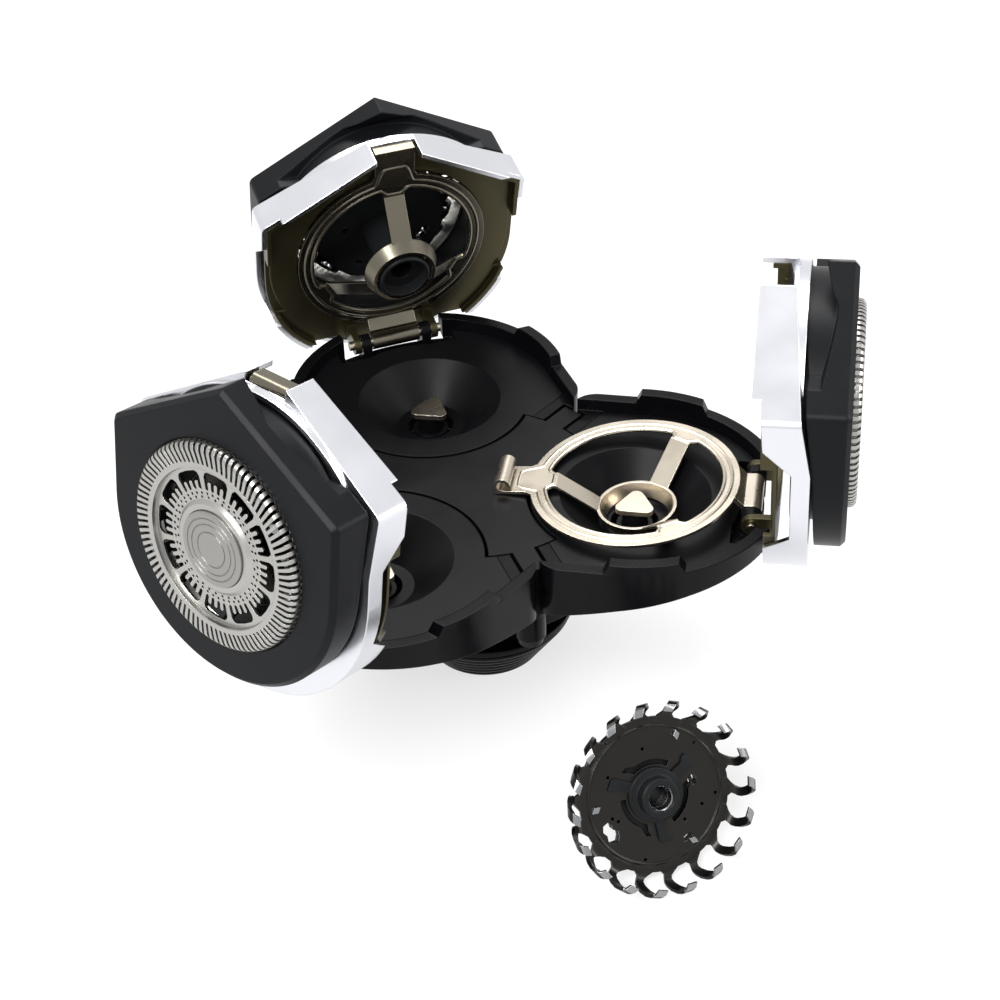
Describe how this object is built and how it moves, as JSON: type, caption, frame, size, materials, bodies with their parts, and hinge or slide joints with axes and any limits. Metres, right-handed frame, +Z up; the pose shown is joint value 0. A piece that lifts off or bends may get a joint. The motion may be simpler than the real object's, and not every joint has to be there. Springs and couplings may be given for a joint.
{
  "type": "rotary shaver head",
  "caption": "Rotary shaver head on a round coupling, with tilting lobes and hinged lids standing open, one cutter taken out.",
  "frame": {"origin": "centre of the coupling spigot's lower face", "axes": "+Z up the head's axis, +Y towards the rear unit, +X to the right"},
  "size_m": [0.0807, 0.0838, 0.0545],
  "materials": {
    "collar_plastic": "moulded black",
    "housing_plastic": "moulded black",
    "gear_plastic": "natural acetal",
    "deck_plastic": "fine texture, dark grey",
    "shell_plastic": "moulded dark grey",
    "screw_steel": "zinc plated",
    "pin_steel": "drawn wire",
    "spring_steel": "drawn wire",
    "plunger_plastic": "moulded black",
    "tip_steel": "stamped",
    "frame_silver": "silver lacquer on plastic",
    "liner_bronze": "olive bronze",
    "holder_plastic": "moulded black",
    "cap_steel": "satin stainless steel",
    "disc_steel": "pressed",
    "bracket_steel": "satin stainless sheet",
    "cutter_plastic": "moulded blue grey",
    "blade_steel": "ground"
  },
  "bodies": {
    "base": {"coupling_collar": "collar_plastic", "gearbox_housing": "housing_plastic", "gearbox_cover": "housing_plastic", "central_plate": "deck_plastic", "housing_screws": "screw_steel", "loose_cutter_carrier": "cutter_plastic", "loose_cutter_blades": "blade_steel"},
    "drive": {"central_gear": "gear_plastic"},
    "spindle_rear": {"spindle_gear_rear": "gear_plastic", "spindle_spring_rear": "spring_steel"},
    "tip_rear": {"spindle_plunger_rear": "plunger_plastic", "spindle_tip_rear": "tip_steel"},
    "lobe_rear": {"lobe_shell_rear": "shell_plastic", "lobe_deck_rear": "deck_plastic", "hinge_pin_rear": "pin_steel"},
    "lid_rear": {"lid_frame_rear": "frame_silver", "lid_liner_rear": "liner_bronze"},
    "cap_rear": {"cap_holder_rear": "holder_plastic", "shaving_cap_rear": "cap_steel", "cap_disc_rear": "disc_steel"},
    "bracket_rear": {"bracket_rear": "bracket_steel"},
    "cutter_rear": {"cutter_carrier_rear": "cutter_plastic", "cutter_blades_rear": "blade_steel"},
    "spindle_right": {"spindle_gear_right": "gear_plastic", "spindle_spring_right": "spring_steel"},
    "tip_right": {"spindle_plunger_right": "plunger_plastic", "spindle_tip_right": "tip_steel"},
    "lobe_right": {"lobe_shell_right": "shell_plastic", "lobe_deck_right": "deck_plastic", "hinge_pin_right": "pin_steel"},
    "lid_right": {"lid_frame_right": "frame_silver", "lid_liner_right": "liner_bronze"},
    "cap_right": {"cap_holder_right": "holder_plastic", "shaving_cap_right": "cap_steel", "cap_disc_right": "disc_steel"},
    "bracket_right": {"bracket_right": "bracket_steel"},
    "spindle_left": {"spindle_gear_left": "gear_plastic", "spindle_spring_left": "spring_steel"},
    "tip_left": {"spindle_plunger_left": "plunger_plastic", "spindle_tip_left": "tip_steel"},
    "lobe_left": {"lobe_shell_left": "shell_plastic", "lobe_deck_left": "deck_plastic", "hinge_pin_left": "pin_steel"},
    "lid_left": {"lid_frame_left": "frame_silver", "lid_liner_left": "liner_bronze"},
    "cap_left": {"cap_holder_left": "holder_plastic", "shaving_cap_left": "cap_steel", "cap_disc_left": "disc_steel"},
    "bracket_left": {"bracket_left": "bracket_steel"},
    "cutter_left": {"cutter_carrier_left": "cutter_plastic", "cutter_blades_left": "blade_steel"}
  },
  "joints": [
    {"name": "drive_spin", "type": "hinge", "parent": "base", "child": "drive", "pos_m": [0, 0, 0.015], "axis": [0, 0, 1], "continuous": true},
    {"name": "spindle_spin_rear", "type": "hinge", "parent": "base", "child": "spindle_rear", "pos_m": [0, 0.017, 0.015], "axis": [0, 0, 1], "continuous": true},
    {"name": "tip_press_rear", "type": "slide", "parent": "spindle_rear", "child": "tip_rear", "axis": [0, 0, -1], "range_m": [0, 0.0018], "stiffness_N_per_m": 300, "springref_m": -0.001, "deforming": ["spindle_spring_rear"]},
    {"name": "lobe_tilt_rear", "type": "hinge", "parent": "base", "child": "lobe_rear", "pos_m": [0, 0.009, 0.021], "axis": [-1, 0, 0], "range_deg": [0, 5], "stiffness_Nm_per_rad": 0.5, "springref_deg": -1.15},
    {"name": "lid_hinge_rear", "type": "hinge", "parent": "lobe_rear", "child": "lid_rear", "pos_m": [0, 0.02972, 0.02386], "axis": [-1, 0, 0], "range_deg": [-75.9, 4]},
    {"name": "cap_tilt_rear", "type": "hinge", "parent": "lid_rear", "child": "cap_rear", "pos_m": [0, 0.03083, 0.03725], "axis": [1, 0, 0], "range_deg": [-2, 2], "stiffness_Nm_per_rad": 0.2},
    {"name": "bracket_hinge_rear", "type": "hinge", "parent": "lid_rear", "child": "bracket_rear", "pos_m": [0, 0.02972, 0.02386], "axis": [1, 0, 0], "range_deg": [0, 80]},
    {"name": "cutter_spin_rear", "type": "hinge", "parent": "cap_rear", "child": "cutter_rear", "pos_m": [0, 0.03341, 0.0379], "axis": [0, 0.9699, 0.2436], "continuous": true},
    {"name": "spindle_spin_right", "type": "hinge", "parent": "base", "child": "spindle_right", "pos_m": [0.01472, -0.0085, 0.015], "axis": [0, 0, 1], "continuous": true},
    {"name": "tip_press_right", "type": "slide", "parent": "spindle_right", "child": "tip_right", "axis": [0, 0, -1], "range_m": [0, 0.0018], "stiffness_N_per_m": 300, "springref_m": -0.001, "deforming": ["spindle_spring_right"]},
    {"name": "lobe_tilt_right", "type": "hinge", "parent": "base", "child": "lobe_right", "pos_m": [0.00779, -0.0045, 0.021], "axis": [0.5, 0.866, 0], "range_deg": [0, 5], "stiffness_Nm_per_rad": 0.5, "springref_deg": -1.15},
    {"name": "lid_hinge_right", "type": "hinge", "parent": "lobe_right", "child": "lid_right", "pos_m": [0.02574, -0.01486, 0.02386], "axis": [0.5, 0.866, 0], "range_deg": [-88, 2.4]},
    {"name": "cap_tilt_right", "type": "hinge", "parent": "lid_right", "child": "cap_right", "pos_m": [0.02911, -0.01681, 0.03672], "axis": [-0.5, -0.866, 0], "range_deg": [-2, 2], "stiffness_Nm_per_rad": 0.2},
    {"name": "bracket_hinge_right", "type": "hinge", "parent": "lobe_right", "child": "bracket_right", "pos_m": [0.02574, -0.01486, 0.02386], "axis": [0.5, 0.866, 0], "range_deg": [0, 88]},
    {"name": "spindle_spin_left", "type": "hinge", "parent": "base", "child": "spindle_left", "pos_m": [-0.01472, -0.0085, 0.015], "axis": [0, 0, 1], "continuous": true},
    {"name": "tip_press_left", "type": "slide", "parent": "spindle_left", "child": "tip_left", "axis": [0, 0, -1], "range_m": [0, 0.0018], "stiffness_N_per_m": 300, "springref_m": -0.001, "deforming": ["spindle_spring_left"]},
    {"name": "lobe_tilt_left", "type": "hinge", "parent": "base", "child": "lobe_left", "pos_m": [-0.00779, -0.0045, 0.021], "axis": [0.5, -0.866, 0], "range_deg": [0, 5], "stiffness_Nm_per_rad": 0.5, "springref_deg": -1.15},
    {"name": "lid_hinge_left", "type": "hinge", "parent": "lobe_left", "child": "lid_left", "pos_m": [-0.02574, -0.01486, 0.02386], "axis": [0.5, -0.866, 0], "range_deg": [-81.6, 4]},
    {"name": "cap_tilt_left", "type": "hinge", "parent": "lid_left", "child": "cap_left", "pos_m": [-0.02785, -0.01608, 0.03708], "axis": [-0.5, 0.866, 0], "range_deg": [-2, 2], "stiffness_Nm_per_rad": 0.2},
    {"name": "bracket_hinge_left", "type": "hinge", "parent": "lid_left", "child": "bracket_left", "pos_m": [-0.02574, -0.01486, 0.02386], "axis": [-0.5, 0.866, 0], "range_deg": [0, 85]},
    {"name": "cutter_spin_left", "type": "hinge", "parent": "cap_left", "child": "cutter_left", "pos_m": [-0.03013, -0.01739, 0.03747], "axis": [-0.8567, -0.4946, 0.1461], "continuous": true}
  ],
  "couplings": [
    {"joint": "spindle_spin_rear", "follows": "drive_spin", "ratio": -3},
    {"joint": "spindle_spin_right", "follows": "drive_spin", "ratio": -3},
    {"joint": "spindle_spin_left", "follows": "drive_spin", "ratio": -3}
  ]
}
